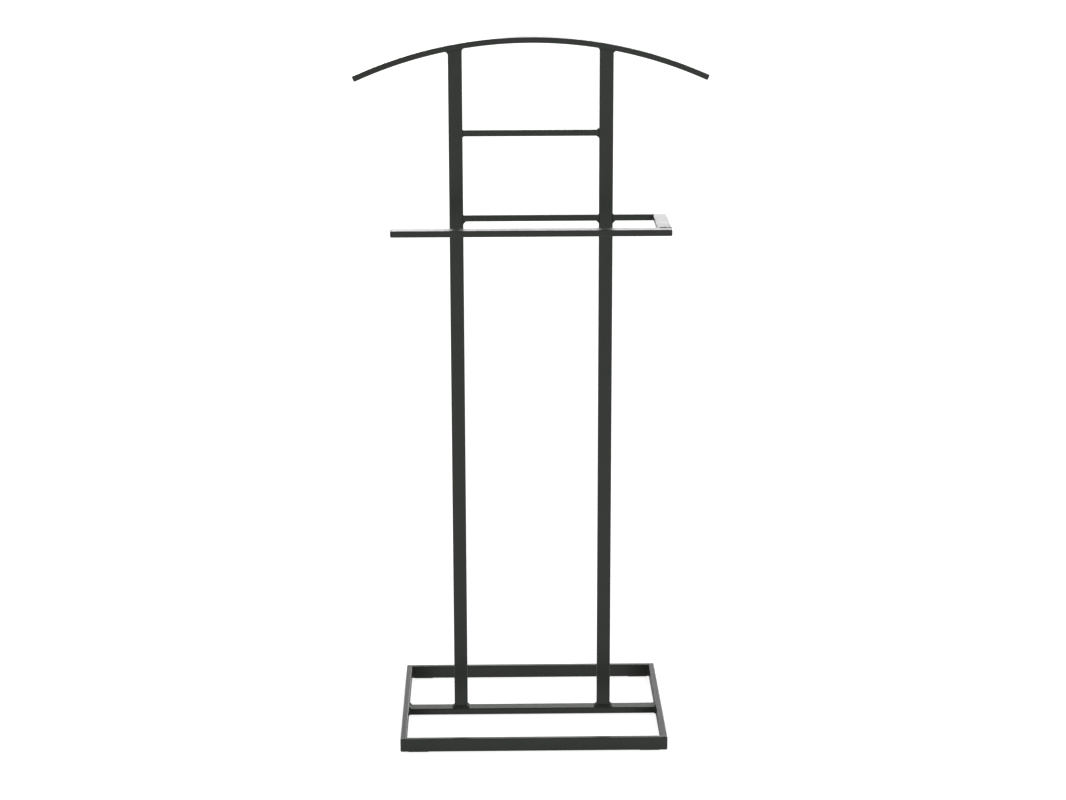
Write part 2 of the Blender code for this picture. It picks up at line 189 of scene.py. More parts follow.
def section_columns(corner_steps, flat_shares, side_shares, near_edge=NEAR_EDGE):
    """Columns round a rectangle with round corners, anticlockwise from its right side.

    A column has its share (-1 to 1) of the half width and of the half height, both less the corner
    radius, the angle that it faces, and its nearness to an edge: 1 on an arc and 0 on a flat.
    """
    corners = np.array([(1, 1), (-1, 1), (-1, -1), (1, -1)], float)
    turn = np.linspace(0, 1, corner_steps + 1)
    shares = []
    angles = []
    edges = []
    for quarter, here in enumerate(corners):
        run = side_shares if quarter % 2 else flat_shares
        onward = corners[(quarter + 1) % 4]
        shares += [np.tile(here, (len(turn), 1)), here + run[:, None] * (onward - here)]
        angles += [(quarter + turn) * QUARTER_TURN, np.full(len(run), (quarter + 1) * QUARTER_TURN)]
        edges += [np.ones(len(turn)), np.interp(run, SUPPORTS, near_edge)]
    shares = np.concatenate(shares)
    return shares[:, 0], shares[:, 1], np.concatenate(angles), np.concatenate(edges)


TUBE_COLUMNS = section_columns(CORNER_STEPS, SUPPORTS, SUPPORTS)


def outline(columns, width, height, radius, grow=0.0):
    """Points round the rectangle: a corner's centre times the shares, plus the radius as it faces.

    grow moves every point outwards, by a number or by an array with an entry for each column.
    """
    share_a, share_b, angle, _ = columns
    a = share_a * (width / 2 - radius) + (radius + grow) * np.cos(angle)
    b = share_b * (height / 2 - radius) + (radius + grow) * np.sin(angle)
    return a, b


def tube_points(width, height, radius, path, stations):
    """A tube as a ring of rows: out along its outer wall, over the cut end, back along its inner wall.

    path(station, a, b) places the point (a, b) of the section at a station along the tube.
    """
    outer = outline(TUBE_COLUMNS, width, height, radius)
    inner_radius = max(radius - WALL, LEAST_RADIUS)
    inner = outline(TUBE_COLUMNS, width - 2 * WALL, height - 2 * WALL, inner_radius)
    rows = stations[:, None]
    return np.concatenate([path(rows, *outer), path(rows[::-1], *inner)])


def tube_edges(stations):
    """Nearness to an edge over a tube's rows: the section's on the outer wall, none on the inner."""
    edge = TUBE_COLUMNS[3]
    return np.repeat([edge, 0 * edge], len(stations), axis=0)


def skin(name, points, ring, edge, material):
    """An object whose closed mesh runs through a grid of points, with rows along it, columns round it.

    In a ring the last row joins the first; otherwise a fan of triangles shuts each end at its
    middle. The faces are turned so that the volume they hold is positive.
    """
    rows, columns = points.shape[:2]
    grid = np.arange(rows * columns).reshape(rows, columns)
    near = grid if ring else grid[:-1]
    far = np.roll(grid, -1, axis=0)[: len(near)]
    quads = np.stack([near, np.roll(near, -1, 1), np.roll(far, -1, 1), far], axis=-1).reshape(-1, 4)
    triangles = np.empty((0, 3), int)
    vertices = points.reshape(-1, 3)
    levels = np.broadcast_to(edge, (rows, columns)).ravel()
    if not ring:
        vertices = np.concatenate([vertices, points[[0, -1]].mean(axis=1)])
        levels = np.append(levels, [0, 0])
        first = np.full(columns, rows * columns)
        ends = ([np.roll(grid[0], -1), grid[0], first], [grid[-1], np.roll(grid[-1], -1), first + 1])
        triangles = np.concatenate([np.stack(end, axis=-1) for end in ends])
    halves = np.concatenate([quads[:, [0, 1, 2]], quads[:, [0, 2, 3]], triangles])
    if np.linalg.det(vertices[halves]).sum() < 0:
        quads = quads[:, ::-1]
        triangles = triangles[:, ::-1]
    mesh = bpy.data.meshes.new(name)
    mesh.from_pydata(vertices.tolist(), [], quads.tolist() + triangles.tolist())
    mesh.attributes.new("edge", "FLOAT", "POINT").data.foreach_set("value", levels.astype(np.float32))
    mesh.shade_smooth()
    mesh.set_sharp_from_angle(angle=SHARP_ANGLE)
    mesh.materials.append(material)
    piece = bpy.data.objects.new(name, mesh)
    bpy.context.scene.collection.objects.link(piece)
    return piece


coat = powder_coat("black_powder_coat", COAT_ROUGHNESS, PEEL_DEPTH)

front_low, front_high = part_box("base_front_rail")
base_bottom = front_low.z
base_top = front_high.z
base_half_width = front_high.x
base_half_depth = -front_low.y
base_thickness = front_high.y - front_low.y

STRAIGHT_SHARE = 0.9  # of a rail's stations; the rest turn through half a right angle at each end
turning = np.linspace(STRAIGHT_SHARE, 1, 7)[1:]
rail_stations = np.linspace(-STRAIGHT_SHARE, STRAIGHT_SHARE, 25)
rail_stations = np.concatenate([-turning[::-1], rail_stations, turning])

for node, turns in (("front", 0), ("right", 1), ("rear", 2), ("left", 3)):
    half_length, reach = base_half_width, base_half_depth
    if turns % 2:
        half_length, reach = reach, half_length
    heading = turns * QUARTER_TURN

    def rail_path(station, a, b):
        """Straight, then round a corner up to the mitre.

        A point at depth d inside the outer face turns about a centre at depth max(d, ground radius),
        on a radius of what is left of the ground radius.
        """
        depth = base_thickness / 2 - a
        centre = np.maximum(depth, GROUND_CORNER)
        radius = np.maximum(GROUND_CORNER - depth, 0)
        bend = np.maximum(np.abs(station) - STRAIGHT_SHARE, 0) / (1 - STRAIGHT_SHARE)
        angle = np.sign(station) * bend * QUARTER_TURN / 2
        straight = np.clip(station / STRAIGHT_SHARE, -1, 1)
        spread = straight * MITRE_SPREAD * depth * (1 - bend)
        along = straight * (half_length - centre) + radius * np.sin(angle) - spread
        out = reach - centre + radius * np.cos(angle)
        x = along * np.cos(heading) + out * np.sin(heading)
        y = along * np.sin(heading) - out * np.cos(heading)
        z = (base_bottom + base_top) / 2 + b
        return np.stack(np.broadcast_arrays(x, y, z), axis=-1)

    section = (base_thickness, base_top - base_bottom, BASE_TUBE_CORNER)
    points = tube_points(*section, rail_path, rail_stations)
    rail = skin(f"base_{node}_rail_tube", points, True, tube_edges(rail_stations), coat)
    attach(rail, "root")
    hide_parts(f"base_{node}_rail")


# ---------------------------------------------------------------------------------------------
# Base corner welds. The mitres are welded all round: a rippled fillet stays in each inside corner,
# and the bead across the top is dressed down to a low flat seam. The powder coat covers both.

SINK = 0.0003  # how far a bead's root reaches into the metal
CORNER_LEG = 0.0028
CORNER_BULGE = 1.25
CORNER_RIPPLE = 0.00022
RIPPLE_PITCH = 0.0013
SEAM_WIDTH = 0.0030
SEAM_PROUD = 0.00012
SEAM_SEED = 20
WELD_ROUGHNESS = 0.27
WELD_PEEL_DEPTH = 0.000018


def wander(share, waves, size, seed):
    """An uneven curve that closes on itself: cosines of 1 to this many turns, with seeded phases."""
    turns = np.arange(1, waves + 1)
    phases = np.random.default_rng(seed).uniform(0, 2 * np.pi, waves)
    waves_at = np.cos(2 * np.pi * share[..., None] * turns + phases)
    return size * (waves_at / np.sqrt(turns)).sum(axis=-1) / math.sqrt(waves)


def crescents(along, across, pitch):
    """The ripples of a weld, 0 to 1: each is a bow that trails at both edges of the bead."""
    bow = 1 - (2 * across - 1) ** 2
    return np.abs(np.sin(np.pi * (along / pitch + 0.7 * bow)))


def fillet_profile(bulge, steps):
    """Shares of both legs over the bead: a superellipse, round for 2, flat for 1, hollow below 1."""
    angle = np.linspace(0, QUARTER_TURN, steps)
    return np.cos(angle) ** (2 / bulge), np.sin(angle) ** (2 / bulge), angle / QUARTER_TURN


def corner_bead(place, leg, height, seed):
    """A fillet in an inside corner, along its third axis.

    Each row holds the superellipse times the leg, which swells and sinks along the corner and fades
    out at both ends, plus ripples; three more points close the row behind, inside the metal.
    place(p, q, r) puts a point p and q out from the two walls and r along the corner.
    """
    out, up, share = fillet_profile(CORNER_BULGE, 12)
    r = np.linspace(-0.5, 0.5, 90)[:, None] * height
    fade = np.sqrt(np.clip(1 - np.abs(2 * r / height) ** 6, 0.02, 1))
    size = leg * fade * (1 + wander(r / height, 4, 0.10, seed))
    ripple = CORNER_RIPPLE * crescents(r, share, RIPPLE_PITCH) * np.sin(np.pi * share) * fade
    p = out * size + ripple
    q = up * size + ripple
    hidden = np.full_like(r, -SINK)
    p = np.hstack([p[:, :1], p, hidden, hidden])
    q = np.hstack([hidden, q, q[:, -1:], hidden])
    return place(p, q, np.broadcast_to(r, p.shape))


def dressed_seam(place, length, width, proud, seed):
    """A low weld over a flat joint: a lens in section, its crown uneven, tapering to both ends.

    place(r, s, t) puts a point r along the seam, s across it and t above the surface.
    """
    share = np.linspace(0, 1, 60)[:, None]
    angle = np.linspace(0, 2 * np.pi, 28, endpoint=False)
    taper = np.clip(1 - np.abs(2 * share - 1) ** 8, 0.03, 1) ** 0.5
    half = width / 2 * taper * (1 + wander(share, 6, 0.16, seed))
    crown = proud * taper * (1 + wander(share, 9, 0.35, seed + 1))
    s = half * np.cos(angle)
    t = np.where(np.sin(angle) > 0, crown, SINK) * np.sin(angle)
    return place(length * (share - 0.5) + 0 * s, s, t)


weld_coat = powder_coat("black_powder_coat_on_weld", WELD_ROUGHNESS, WELD_PEEL_DEPTH)

inner_x = base_half_width - base_thickness
inner_y = base_half_depth - base_thickness
base_middle = (base_bottom + base_top) / 2
bead_height = base_top - base_bottom - 2 * BASE_TUBE_CORNER
seam_length = math.sqrt(2) * (base_thickness - 2 * BASE_TUBE_CORNER)
for seed, (corner, side_x, side_y) in enumerate(
    (("front_left", -1, -1), ("front_right", 1, -1), ("rear_right", 1, 1), ("rear_left", -1, 1))
):

    def in_corner(p, q, r):
        return np.stack([side_x * (inner_x - p), side_y * (inner_y - q), base_middle + r], axis=-1)

    points = corner_bead(in_corner, CORNER_LEG, bead_height, seed)
    bead = skin(f"base_{corner}_bead", points, False, 0.0, weld_coat)
    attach(bead, "root")
    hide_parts(f"weld_base_{corner}")

    def on_mitre(r, s, t):
        """r runs outwards along the mitre on the top of the rails, s level across it, t upwards."""
        out = r * math.sqrt(0.5)
        middle_x = base_half_width - base_thickness / 2
        middle_y = base_half_depth - base_thickness / 2
        x = side_x * (middle_x + out + s * math.sqrt(0.5))
        y = side_y * (middle_y + out - s * math.sqrt(0.5))
        return np.stack([x, y, base_top + t], axis=-1)

    points = dressed_seam(on_mitre, seam_length, SEAM_WIDTH, SEAM_PROUD, SEAM_SEED + seed)
    seam = skin(f"base_{corner}_mitre_seam", points, False, 0.0, weld_coat)
    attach(seam, "root")


# ---------------------------------------------------------------------------------------------
# Cross rail. A 20 by 10 mm tube lies flat between the side rails and carries the uprights. A bead
# runs over the back, top and front of each end; the underside is left clear to stand flat.

FRAME_CORNER = 0.0015
BEAD_GRAIN = 0.00022  # between columns along a bead
CROSS_FRONT_LEG = 0.0028
CROSS_UNDER_LEG = 0.0001
CROSS_SLOPE = 1.0
CROSS_BULGE = 1.15
CROSS_RIPPLE = 0.0002


def bead_columns(width, height, radius, pitch):
    """Columns round a bar, a pitch apart on its sides and closer round its corners."""
    flat = np.linspace(0, 1, max(int((width - 2 * radius) / pitch), 3) + 1)[1:-1]
    side = np.linspace(0, 1, max(int((height - 2 * radius) / pitch), 3) + 1)[1:-1]
    return section_columns(14, flat, side, 0 * NEAR_EDGE)


def ring_bead(place, width, height, radius, legs, slope, bulge, lumps, ripples, seed):
    """A fillet all round a bar that stands on a face.

    Round the bar the leg on the face turns smoothly from one side's length to the next: the squares
    of the facing direction share it out. It swells and sinks by lumps, and ripples bow across it.
    The superellipse between leg and rise makes the section, and three hidden rows close it inside
    the metal. legs are those towards +a, -a, +b and -b, and the rise is in proportion to them, as
    slope says. place(a, b, n) puts a point n off the face.
    """
    columns = bead_columns(width, height, radius, BEAD_GRAIN)
    facing_a, facing_b = np.cos(columns[2]), np.sin(columns[2])
    leg = facing_a**2 * np.where(facing_a > 0, legs[0], legs[1])
    leg = leg + facing_b**2 * np.where(facing_b > 0, legs[2], legs[3])
    a, b = outline(columns, width, height, radius, leg / 2)
    step = np.hypot(np.roll(a, -1) - a, np.roll(b, -1) - b)
    perimeter = step.sum()
    along = np.cumsum(step) - step
    pitch = perimeter / round(perimeter / RIPPLE_PITCH)
    out, up, share = (part[:, None] for part in fillet_profile(bulge, 16))
    uneven = 1 + wander(along / perimeter, 11, lumps, seed)
    over = np.sin(np.pi * share)
    hump = 1 + wander(along / perimeter + 0 * share, 17, lumps * 0.6, seed + 1) * over
    ripple = ripples * crescents(along, share, pitch) * over
    rippled = ripple * leg / max(legs)
    grow = out * leg * uneven * hump + rippled
    height_off = up * leg * slope * uneven * hump + rippled
    hidden = np.full((1, len(leg)), -SINK)
    grow = np.vstack([grow[:1], grow, hidden, hidden])
    height_off = np.vstack([hidden, height_off, height_off[-1:], hidden])
    a, b = outline(columns, width, height, radius, grow)
    return place(a, b, height_off)


cross_low, cross_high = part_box("base_cross_rail")
cross_middle = (cross_low.z + cross_high.z) / 2
cross_depth = cross_high.y - cross_low.y
cross_height = cross_high.z - cross_low.z
cross_stations = np.linspace(0, 1, 33)


def cross_path(station, a, b):
    """From one side rail's inner face to the other; a runs to the back and b upwards."""
    x = inner_x * (2 * station - 1)
    return np.stack(np.broadcast_arrays(x, a, cross_middle + b), axis=-1)


points = tube_points(cross_depth, cross_height, FRAME_CORNER, cross_path, cross_stations)
cross_rail = skin("cross_rail_tube", points, True, tube_edges(cross_stations), coat)
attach(cross_rail, "root")
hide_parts("base_cross_rail")

for side, sign, back, over, lumps, seed in (
    ("left", -1, 0.0022, 0.0040, 0.30, 31),
    ("right", 1, 0.0016, 0.0024, 0.12, 37),
):

    def on_side_rail(a, b, n):
        return np.stack([sign * (inner_x - n), a, cross_middle + b], axis=-1)

    legs = (back, CROSS_FRONT_LEG, over, CROSS_UNDER_LEG)
    section = (cross_depth, cross_height, FRAME_CORNER)
    shape = (legs, CROSS_SLOPE, CROSS_BULGE, lumps, CROSS_RIPPLE, seed)
    points = ring_bead(on_side_rail, *section, *shape)
    bead = skin(f"cross_rail_{side}_bead", points, True, 0.0, weld_coat)
    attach(bead, "root")
    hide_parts(f"weld_cross_rail_{side}")


# ---------------------------------------------------------------------------------------------
# Uprights. Two 20.5 by 10 mm tubes stand on the cross rail, broad side to the front. Their tops are
# cut to the shoulder bar's curve. A heavy, uneven bead runs round each foot, and a smooth hollow one
# under the shoulder bar.

FOOT_LEGS = {"left": (0.0042, 0.0042, 0.0044, 0.0044), "right": (0.0052, 0.0044, 0.0044, 0.0044)}
FOOT_SLOPE = 0.92
FOOT_BULGE = 0.95
FOOT_RIPPLE = 0.0003
TOP_LEGS = {"left": (0.0046, 0.0064, 0.0018, 0.0018), "right": (0.0052, 0.0046, 0.0018, 0.0018)}
TOP_SLOPE = 0.9
TOP_BULGE = 0.62
TOP_LUMPS = 0.05
TOP_RIPPLE = 0.00006

shoulder_low, shoulder_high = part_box("shoulder_bar")
SHOULDER_RADIUS = 0.631  # to the upper surface of the shoulder bar
SHOULDER_THICKNESS = 0.0085
shoulder_centre = shoulder_high.z - SHOULDER_RADIUS
underside_radius = SHOULDER_RADIUS - SHOULDER_THICKNESS


def underside(x):
    """Height of the shoulder bar's lower surface: a circle about a centre below the bar."""
    return shoulder_centre + np.sqrt(underside_radius**2 - x**2)


upright_stations = np.linspace(0, 1, 65)
for side, foot_lumps, foot_seed, top_seed in (("left", 0.16, 41, 47), ("right", 0.24, 47, 53)):
    low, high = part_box(f"{side}_upright")
    upright_x = (low.x + high.x) / 2
    upright_width = high.x - low.x
    upright_depth = high.y - low.y

    def upright_path(station, a, b):
        """Up from the cross rail to the shoulder bar's underside over that point."""
        x = upright_x + a
        z = cross_high.z + station * (underside(x) - cross_high.z)
        return np.stack(np.broadcast_arrays(x, b, z), axis=-1)

    section = (upright_width, upright_depth, FRAME_CORNER)
    points = tube_points(*section, upright_path, upright_stations)
    upright = skin(f"{side}_upright_tube", points, True, tube_edges(upright_stations), coat)
    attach(upright, "root")
    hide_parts(f"{side}_upright")

    def on_cross_rail(a, b, n):
        """n above the cross rail's top, which falls away round its long edges."""
        past_flat = np.clip(np.abs(b) - (cross_depth / 2 - FRAME_CORNER), 0, FRAME_CORNER)
        fall = FRAME_CORNER - np.sqrt(FRAME_CORNER**2 - past_flat**2)
        return np.stack([upright_x + a, b, cross_high.z + n - fall], axis=-1)

    shape = (FOOT_LEGS[side], FOOT_SLOPE, FOOT_BULGE, foot_lumps, FOOT_RIPPLE, foot_seed)
    points = ring_bead(on_cross_rail, *section, *shape)
    foot = skin(f"{side}_foot_bead", points, True, 0.0, weld_coat)
    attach(foot, "root")
    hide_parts(f"weld_{side}_foot")

    def under_shoulder(a, b, n):
        return np.stack([upright_x + a, b, underside(upright_x + a) - n], axis=-1)

    shape = (TOP_LEGS[side], TOP_SLOPE, TOP_BULGE, TOP_LUMPS, TOP_RIPPLE, top_seed)
    points = ring_bead(under_shoulder, *section, *shape)
    top = skin(f"{side}_top_bead", points, True, 0.0, weld_coat)
    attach(top, "root")
    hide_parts(f"weld_{side}_top")


# ---------------------------------------------------------------------------------------------
# Crossbar. A small solid bar ties the uprights together under the shoulder bar, with a hollow bead
# round each end.

SMALL_BAR_CORNER = 0.0010
BAR_LEGS = {"left": (0.0008, 0.0008, 0.0016, 0.0018), "right": (0.0014, 0.0014, 0.0040, 0.0042)}
BAR_SLOPE = 1.0
BAR_BULGE = 0.75
BAR_RIPPLE = 0.0001


def bar_points(width, height, radius, path, stations):
    """A solid bar: one row of its section for each station of its path."""
    return path(stations[:, None], *outline(TUBE_COLUMNS, width, height, radius))


left_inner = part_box("left_upright")[1].x
right_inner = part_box("right_upright")[0].x
right_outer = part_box("right_upright")[1].x
bar_low, bar_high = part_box("upper_crossbar")
bar_middle = (bar_low.z + bar_high.z) / 2
bar_stations = np.linspace(0, 1, 33)


def crossbar_path(station, a, b):
    """From the left upright's inner side to the right one's."""
    x = left_inner + station * (right_inner - left_inner)
    return np.stack(np.broadcast_arrays(x, a, bar_middle + b), axis=-1)


bar_section = (bar_high.y - bar_low.y, bar_high.z - bar_low.z, SMALL_BAR_CORNER)
points = bar_points(*bar_section, crossbar_path, bar_stations)
crossbar = skin("crossbar", points, False, TUBE_COLUMNS[3], coat)
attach(crossbar, "root")
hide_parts("upper_crossbar")

for side, face_x, sign, lumps, seed in (
    ("left", left_inner, 1, 0.05, 61),
    ("right", right_inner, -1, 0.14, 67),
):

    def on_upright(a, b, n):
        return np.stack([face_x + sign * n, a, bar_middle + b], axis=-1)

    shape = (BAR_LEGS[side], BAR_SLOPE, BAR_BULGE, lumps, BAR_RIPPLE, seed)
    points = ring_bead(on_upright, *bar_section, *shape)
    bead = skin(f"crossbar_{side}_bead", points, True, 0.0, weld_coat)
    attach(bead, "root")
    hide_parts(f"weld_crossbar_{side}")


# ---------------------------------------------------------------------------------------------
# Shoulder bar. A 20 by 8.5 mm tube, bent flatwise to one radius, carries the jacket. Bending draws
# its upper face down a little along the middle. A black plastic plug shuts each end.

FACE_SINK = 0.00025
PLUG_HEAD = 0.0020
PLUG_RIM = 0.0017
PLUG_CROWN = 0.0003
PLUG_CORE_CORNER = 0.0004  # corner radius inside the rim
PLUG_SHANK = 0.009
SHANK_CORNER = 0.0006
SHANK_PLAY = 0.0001  # between the shank and the tube's bore
RIBS = 4
RIB_DEPTH = 0.0004
PLASTIC_DARK = (0.0100, 0.0115, 0.0110)
PLASTIC_RUBBED = (0.0170, 0.0185, 0.0180)
SPARK_SIZE = 0.0004
SPARK_DEPTH = 0.00002
RUB_SIZE = 0.006


def plug_points(place, width, height):
    """A plug from the middle of its head, over a crowned face and a round rim, to its ribbed shank.

    The face's rows are the outline times a share, falling as the share's square; the rim is a
    quarter circle; the shank's ribs are half waves. place(n, a, b) puts a point n out of the tube.
    """
    core = (TUBE_COLUMNS, width - 2 * PLUG_RIM, height - 2 * PLUG_RIM, PLUG_CORE_CORNER)
    share = np.linspace(0.12, 1, 7)[:, None]
    face_a, face_b = outline(*core)
    rows = [(PLUG_HEAD - PLUG_CROWN * share**2 + 0 * face_a, share * face_a, share * face_b)]
    turn = np.linspace(0, QUARTER_TURN, 6)[1:, None]
    rim_a, rim_b = outline(*core, PLUG_RIM * np.sin(turn))
    rim_n = PLUG_HEAD - PLUG_CROWN - PLUG_RIM * (1 - np.cos(turn))
    rows.append((rim_n + 0 * rim_a, rim_a, rim_b))
    edge_a, edge_b = rim_a[-1:], rim_b[-1:]
    rows.append((0 * edge_a, edge_a, edge_b))
    depth = np.linspace(0, 1, 37)[:, None]
    rib = -RIB_DEPTH * np.cos(2 * np.pi * RIBS * depth) ** 2
    inner = 2 * (WALL + SHANK_PLAY)
    shank_a, shank_b = outline(TUBE_COLUMNS, width - inner, height - inner, SHANK_CORNER, rib)
    rows.append((-PLUG_SHANK * depth + 0 * shank_a, shank_a, shank_b))
    n, a, b = (np.concatenate(part) for part in zip(*rows))
    return place(n, a, b)


def plug_plastic():
    """Moulded black plastic: matt, with a fine spark-eroded grain and faint rubbed patches."""
    constants = {"IOR": 1.48, "Metallic": 0.0}
    material, shader, place = start_material("black_plug_plastic", constants)
    grain = noise(place, SPARK_SIZE, 1.0)
    rubbed = noise(place, RUB_SIZE, 3.0).between(0.45, 0.75)
    shade = blend(rubbed, PLASTIC_DARK, PLASTIC_RUBBED)
    gloss = 0.50 - rubbed * 0.10 + (grain - 0.5) * 0.06
    feed(shader, shade, gloss, bump(grain, SPARK_DEPTH))
    return material


plastic = plug_plastic()

middle_radius = SHOULDER_RADIUS - SHOULDER_THICKNESS / 2
shoulder_depth = shoulder_high.y - shoulder_low.y
arc_stations = np.linspace(-1, 1, 193)

# The cut ends stand square to the bend, so their lower edges lie nearest the middle plane.
end_half_angle = math.asin(shoulder_high.x / SHOULDER_RADIUS)


def shoulder_path(station, a, b):
    """Round the bend's centre: b is added to the radius, less a shallow hollow along the top."""
    on_top = np.clip(b / (SHOULDER_THICKNESS / 2), 0, 1)
    radius = middle_radius + b - FACE_SINK * on_top * (1 - (2 * a / shoulder_depth) ** 2)
    angle = station * end_half_angle
    x = radius * np.sin(angle)
    z = shoulder_centre + radius * np.cos(angle)
    return np.stack(np.broadcast_arrays(x, a, z), axis=-1)


shoulder_section = (shoulder_depth, SHOULDER_THICKNESS, FRAME_CORNER)
points = tube_points(*shoulder_section, shoulder_path, arc_stations)
shoulder = skin("shoulder_bar_tube", points, True, tube_edges(arc_stations), coat)
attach(shoulder, "root")
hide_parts("shoulder_bar")

for side, sign in (("left", -1), ("right", 1)):

    def in_shoulder(n, a, b):
        """Out of the tube along the bend's tangent at its end."""
        radial = middle_radius + b
        x = radial * math.sin(end_half_angle) + n * math.cos(end_half_angle)
        z = shoulder_centre + radial * math.cos(end_half_angle) - n * math.sin(end_half_angle)
        return np.stack([sign * x, a, z], axis=-1)

    points = plug_points(in_shoulder, shoulder_depth, SHOULDER_THICKNESS)
    plug = skin(f"shoulder_{side}_end_cap", points, False, 0.0, plastic)
    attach(plug, "root")
    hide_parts(f"plug_shoulder_{side}")


# ---------------------------------------------------------------------------------------------
# Trouser loop. A small solid bar runs between the uprights and on to the right, where a 20 by 9 mm
# tube brings it forward to the front rail, whose left end is free so that trousers slide on. Plugs
# shut the tube ends; beads hold the bar to the uprights; the tube joints are welded and dressed.

LOOP_CORNER = 0.0012
LOOP_LEG = 0.0028
REAR_BACK_LEG = 0.0010
REAR_FRONT_LEG = 0.0004
REAR_SLOPE = 0.95
REAR_BULGE = 0.8
REAR_RIPPLE = 0.00012
LOOP_SEAM_WIDTH = 0.0024
FRONT_SEAM_PROUD = 0.0005

inner_low, inner_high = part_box("trouser_rear_rail_inner")
loop_middle = (inner_low.z + inner_high.z) / 2
loop_height = inner_high.z - inner_low.z
rear_y = (inner_low.y + inner_high.y) / 2
rear_section = (inner_high.y - inner_low.y, loop_height, SMALL_BAR_CORNER)
return_low, return_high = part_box("trouser_return_rail")
long_low, long_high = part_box("trouser_front_rail")
front_back = long_high.y
loop_top = long_high.z


def along_x(start, end, y):
    """A path along X at this y, from one x to another."""

    def path(station, a, b):
        x = start + station * (end - start)
        return np.stack(np.broadcast_arrays(x, y + a, loop_middle + b), axis=-1)

    return path


for name, start, end in (
    ("inner", left_inner, right_inner),
    ("outer", right_outer, return_low.x),
):
    points = bar_points(*rear_section, along_x(start, end, rear_y), bar_stations)
    bar = skin(f"rear_rail_{name}_bar", points, False, TUBE_COLUMNS[3], coat)
    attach(bar, "root")
    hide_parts(f"trouser_rear_rail_{name}")

for name, face_x, sign, above, below, lumps, seed in (
    ("left", left_inner, 1, 0.0012, 0.0048, 0.10, 71),
    ("middle", right_inner, -1, 0.0022, 0.0042, 0.14, 73),
    ("right", right_outer, 1, 0.0024, 0.0048, 0.16, 79),
):

    def on_upright_side(a, b, n):
        return np.stack([face_x + sign * n, rear_y + a, loop_middle + b], axis=-1)

    legs = (REAR_BACK_LEG, REAR_FRONT_LEG, above, below)
    shape = (legs, REAR_SLOPE, REAR_BULGE, lumps, REAR_RIPPLE, seed)
    points = ring_bead(on_upright_side, *rear_section, *shape)
    bead = skin(f"rear_rail_{name}_bead", points, True, 0.0, weld_coat)
    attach(bead, "root")
    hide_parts(f"weld_rear_rail_{name}")

tube_section = (return_high.x - return_low.x, loop_height, LOOP_CORNER)
return_x = (return_low.x + return_high.x) / 2


def return_path(station, a, b):
    """From the front rail's back to the plug at the rear."""
    y = front_back + station * (return_high.y - front_back)
    return np.stack(np.broadcast_arrays(return_x + a, y, loop_middle + b), axis=-1)


front_y = (long_low.y + long_high.y) / 2
for name, path in (("return", return_path), ("front", along_x(long_low.x, long_high.x, front_y))):
    points = tube_points(*tube_section, path, bar_stations)
    tube = skin(f"trouser_{name}_rail_tube", points, True, tube_edges(bar_stations), coat)
    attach(tube, "root")
    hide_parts(f"trouser_{name}_rail")


def out_of_left(n, a, b):
    return np.stack([long_low.x - n, front_y + a, loop_middle + b], axis=-1)


def out_of_right(n, a, b):
    return np.stack([long_high.x + n, front_y + a, loop_middle + b], axis=-1)


def out_of_rear(n, a, b):
    return np.stack([return_x + a, return_high.y + n, loop_middle + b], axis=-1)


for name, place in (
    ("front_rail_left", out_of_left),
    ("front_rail_right", out_of_right),
    ("return_rail", out_of_rear),
):
    points = plug_points(place, tube_section[0], tube_section[1])
    plug = skin(f"{name}_end_cap", points, False, 0.0, plastic)
    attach(plug, "root")
    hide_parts(f"plug_{name}")

for name, wall_y, sign, seed in (("rear", inner_low.y, -1, 83), ("front", front_back, 1, 89)):

    def beside_return(p, q, r):
        return np.stack([return_low.x - p, wall_y + sign * q, loop_middle + r], axis=-1)

    points = corner_bead(beside_return, LOOP_LEG, loop_height - 2 * LOOP_CORNER, seed)
    bead = skin(f"return_{name}_bead", points, False, 0.0, weld_coat)
    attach(bead, "root")
    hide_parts(f"weld_return_{name}")


def over_front_joint(r, s, t):
    return np.stack([return_x + r, front_back + s, loop_top + t], axis=-1)


def over_rear_joint(r, s, t):
    return np.stack([return_low.x + s, rear_y + r, loop_top + t], axis=-1)


for name, place, length, proud, seed in (
    ("front", over_front_joint, tube_section[0] - 2 * LOOP_CORNER, FRONT_SEAM_PROUD, 91),
    ("rear", over_rear_joint, rear_section[0] - 2 * SMALL_BAR_CORNER, SEAM_PROUD, 97),
):
    points = dressed_seam(place, length, LOOP_SEAM_WIDTH, proud, seed)
    seam = skin(f"return_{name}_top_seam", points, False, 0.0, weld_coat)
    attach(seam, "root")


# ---------------------------------------------------------------------------------------------
# Floor pads. Four strips of black felt are stuck under the long base rails, so that the steel
# doesn't scratch the floor. Their cut edges are slightly frayed.

FELT_DARK = (0.008, 0.008, 0.008)
FELT_PALE = (0.045, 0.045, 0.045)
FIBRE_SIZE = 0.0005
FIBRE_DEPTH = 0.0002
PAD_CORNER = 0.0008
PAD_GRAIN = 0.0003  # between columns round a pad
PAD_SETBACK = 0.0002
FRAY = 0.00012
PAD_LEVELS = np.array([0.0, 0.0, 0.12, 0.5, 0.88, 1.0, 1.0])[:, None]  # how far up each row lies
PAD_SHARES = np.array([0.5, 0.97, 1.0, 1.0, 1.0, 0.97, 0.5])[:, None]  # of the outline, in each row


def pad_felt():
    """Pressed black wool felt: matted fibres of uneven shade, very rough, with a soft sheen."""
    constants = {"Sheen Weight": 0.4, "Sheen Roughness": 0.5, "Specular IOR Level": 0.2}
    material, shader, place = start_material("black_felt", constants)
    fibres = noise(place, FIBRE_SIZE, 4.0, 0.7)
    shade = blend(fibres.between(0.35, 0.7), FELT_DARK, FELT_PALE)
    feed(shader, shade, 0.90 + (fibres - 0.5) * 0.15, bump(fibres, FIBRE_DEPTH))
    return material


